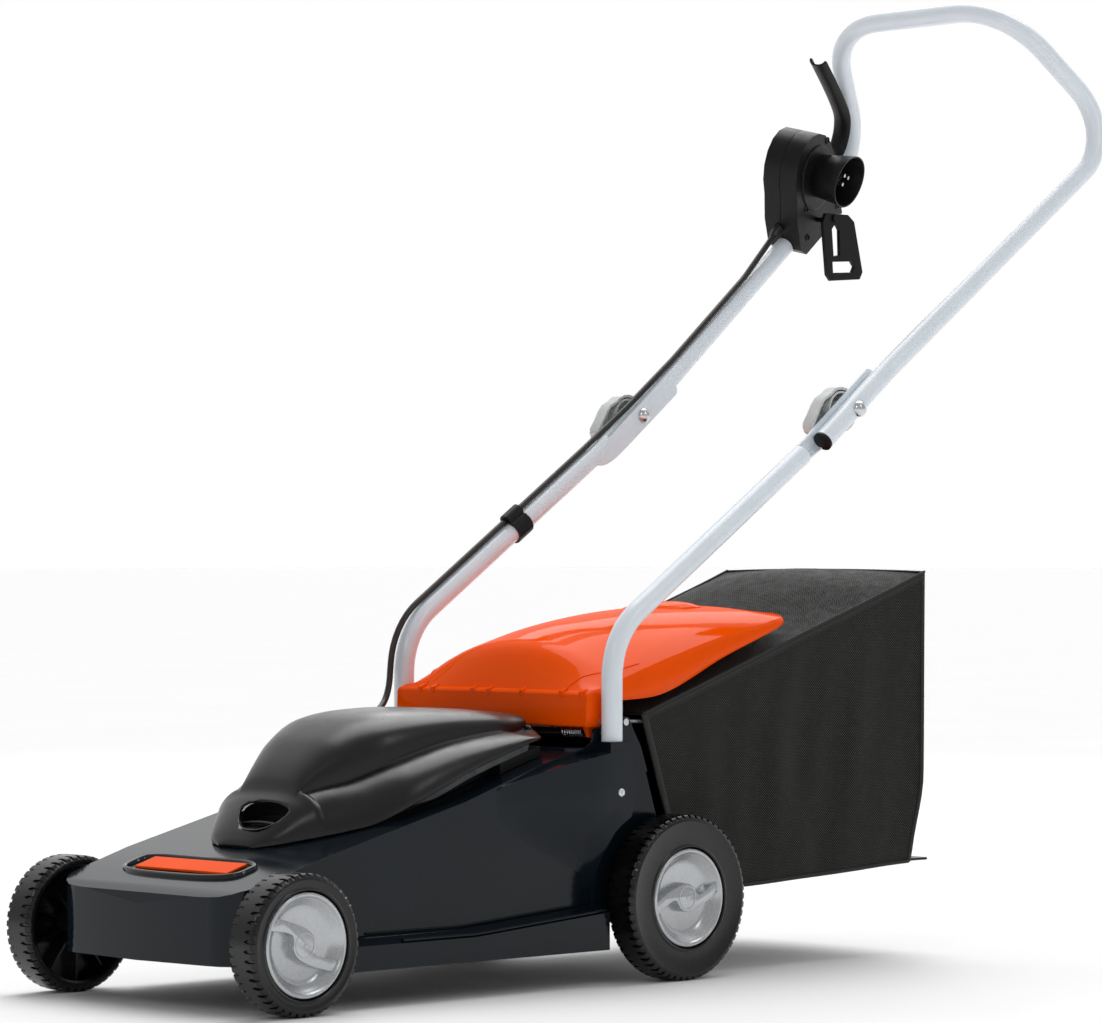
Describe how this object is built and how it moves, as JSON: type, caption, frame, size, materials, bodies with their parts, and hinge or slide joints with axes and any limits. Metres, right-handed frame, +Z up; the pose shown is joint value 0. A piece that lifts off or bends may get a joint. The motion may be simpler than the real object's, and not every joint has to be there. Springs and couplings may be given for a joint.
{
  "type": "electric lawn mower",
  "caption": "Small corded electric rotary lawn mower: closed deck, domed motor cover, sprung rear flap, woven grass bag, folding U handle with switch box.",
  "frame": {"origin": "centre of the bounding box at ground level", "axes": "+Z up, front of the machine towards -Y, +X towards the machine's left side"},
  "size_m": [0.4283, 1.2944, 1.0905],
  "materials": {
    "deck_paint": "gloss",
    "orange_plastic": "gloss",
    "black_plastic": "satin",
    "hub_silver": "satin",
    "lever_grey": "satin",
    "tube_paint": "gloss",
    "bright_steel": "brushed",
    "dark_steel": "satin",
    "motor_iron": "rough",
    "wheel_black": "satin",
    "bag_mesh": "woven",
    "cable_black": "matte"
  },
  "bodies": {
    "deck": {"deck_housing": "deck_paint", "rear_panel_left": "deck_paint", "rear_panel_right": "deck_paint", "rear_panel_screw_left": "bright_steel", "rear_panel_screw_right": "bright_steel", "badge_plate": "orange_plastic", "motor_cover": "black_plastic", "motor_base": "black_plastic", "motor_plate": "bright_steel", "motor_stator": "motor_iron", "upper_bearing": "bright_steel", "lower_bearing": "bright_steel", "run_capacitor": "lever_grey", "cable_grommet": "cable_black", "flap_hinge_rod": "dark_steel", "flap_spring": "bright_steel", "bag_hanger_rod": "bright_steel", "handle_lower_left": "tube_paint", "handle_lower_right": "tube_paint", "handle_screw_left": "bright_steel", "handle_screw_right": "bright_steel", "cable_clip": "black_plastic", "cable_lower": "cable_black"},
    "blade_drive": {"motor_shaft": "bright_steel", "rotor_core": "bright_steel", "cooling_fan": "black_plastic", "blade_carrier": "black_plastic", "cutting_blade": "dark_steel", "blade_bolt": "bright_steel"},
    "front_axle_set": {"front_axle": "bright_steel"},
    "rear_axle_set": {"rear_axle": "bright_steel"},
    "front_left_wheel": {"wheel_front_left": "wheel_black", "hub_cap_front_left": "hub_silver"},
    "front_right_wheel": {"wheel_front_right": "wheel_black", "hub_cap_front_right": "hub_silver"},
    "rear_left_wheel": {"wheel_rear_left": "wheel_black", "hub_cap_rear_left": "hub_silver"},
    "rear_right_wheel": {"wheel_rear_right": "wheel_black", "hub_cap_rear_right": "hub_silver"},
    "flap": {"discharge_flap": "orange_plastic"},
    "bag": {"grass_bag": "bag_mesh", "bag_frame": "bright_steel"},
    "upper_handle": {"handle_upper": "tube_paint", "joint_bolt_left": "bright_steel", "joint_bolt_right": "bright_steel", "tube_plug_left": "black_plastic", "tube_plug_right": "black_plastic", "switch_housing": "black_plastic", "switch_cover": "black_plastic", "plug_inlet": "black_plastic", "inlet_pins": "bright_steel", "micro_switch": "black_plastic", "cable_upper": "cable_black", "cable_flex": "cable_black"},
    "left_knob": {"wing_knob_left": "lever_grey"},
    "right_knob": {"wing_knob_right": "lever_grey"},
    "bail": {"switch_lever": "black_plastic"},
    "lock": {"lock_button": "orange_plastic"},
    "hanger": {"cable_hanger": "black_plastic"}
  },
  "joints": [
    {"name": "blade_spin", "type": "hinge", "parent": "deck", "child": "blade_drive", "pos_m": [0.007, -0.32135, 0.05], "axis": [0, 0, 1], "continuous": true},
    {"name": "front_height", "type": "slide", "parent": "deck", "child": "front_axle_set", "axis": [0, 0, 1], "range_m": [0, 0.024]},
    {"name": "rear_height", "type": "slide", "parent": "deck", "child": "rear_axle_set", "axis": [0, 0, 1], "range_m": [0, 0.024]},
    {"name": "front_left_roll", "type": "hinge", "parent": "front_axle_set", "child": "front_left_wheel", "pos_m": [0.007, -0.57735, 0.07], "axis": [1, 0, 0], "continuous": true},
    {"name": "front_right_roll", "type": "hinge", "parent": "front_axle_set", "child": "front_right_wheel", "pos_m": [0.007, -0.57735, 0.07], "axis": [1, 0, 0], "continuous": true},
    {"name": "rear_left_roll", "type": "hinge", "parent": "rear_axle_set", "child": "rear_left_wheel", "pos_m": [0.007, -0.04535, 0.087], "axis": [1, 0, 0], "continuous": true},
    {"name": "rear_right_roll", "type": "hinge", "parent": "rear_axle_set", "child": "rear_right_wheel", "pos_m": [0.007, -0.04535, 0.087], "axis": [1, 0, 0], "continuous": true},
    {"name": "flap_lift", "type": "hinge", "parent": "deck", "child": "flap", "pos_m": [0.007, -0.12935, 0.262], "axis": [1, 0, 0], "range_deg": [0, 45], "stiffness_Nm_per_rad": 0.6, "springref_deg": -51.57},
    {"name": "bag_pull", "type": "slide", "parent": "deck", "child": "bag", "axis": [0, 1, 0], "range_m": [0, 0.25]},
    {"name": "handle_fold", "type": "hinge", "parent": "deck", "child": "upper_handle", "pos_m": [0.007, 0.23965, 0.608], "axis": [1, 0, 0], "range_deg": [0, 140], "deforming": ["cable_flex"]},
    {"name": "left_knob_turn", "type": "hinge", "parent": "upper_handle", "child": "left_knob", "pos_m": [0.1601, 0.23965, 0.608], "axis": [-1, 0, 0], "range_deg": [0, 90]},
    {"name": "right_knob_turn", "type": "hinge", "parent": "upper_handle", "child": "right_knob", "pos_m": [-0.1725, 0.23965, 0.608], "axis": [-1, 0, 0], "range_deg": [0, 90]},
    {"name": "bail_squeeze", "type": "hinge", "parent": "upper_handle", "child": "bail", "pos_m": [-0.17066, 0.55095, 0.89925], "axis": [-0.9368, -0.2616, 0.2325], "range_deg": [0, 8], "stiffness_Nm_per_rad": 2, "springref_deg": -11.46},
    {"name": "lock_press", "type": "slide", "parent": "upper_handle", "child": "lock", "axis": [0.9368, 0.2616, -0.2325], "range_m": [0, 0.004], "stiffness_N_per_m": 400, "springref_m": -0.002},
    {"name": "hanger_swing", "type": "hinge", "parent": "upper_handle", "child": "hanger", "pos_m": [-0.133, 0.55065, 0.851], "axis": [1, 0, 0], "range_deg": [-25, 25]}
  ]
}
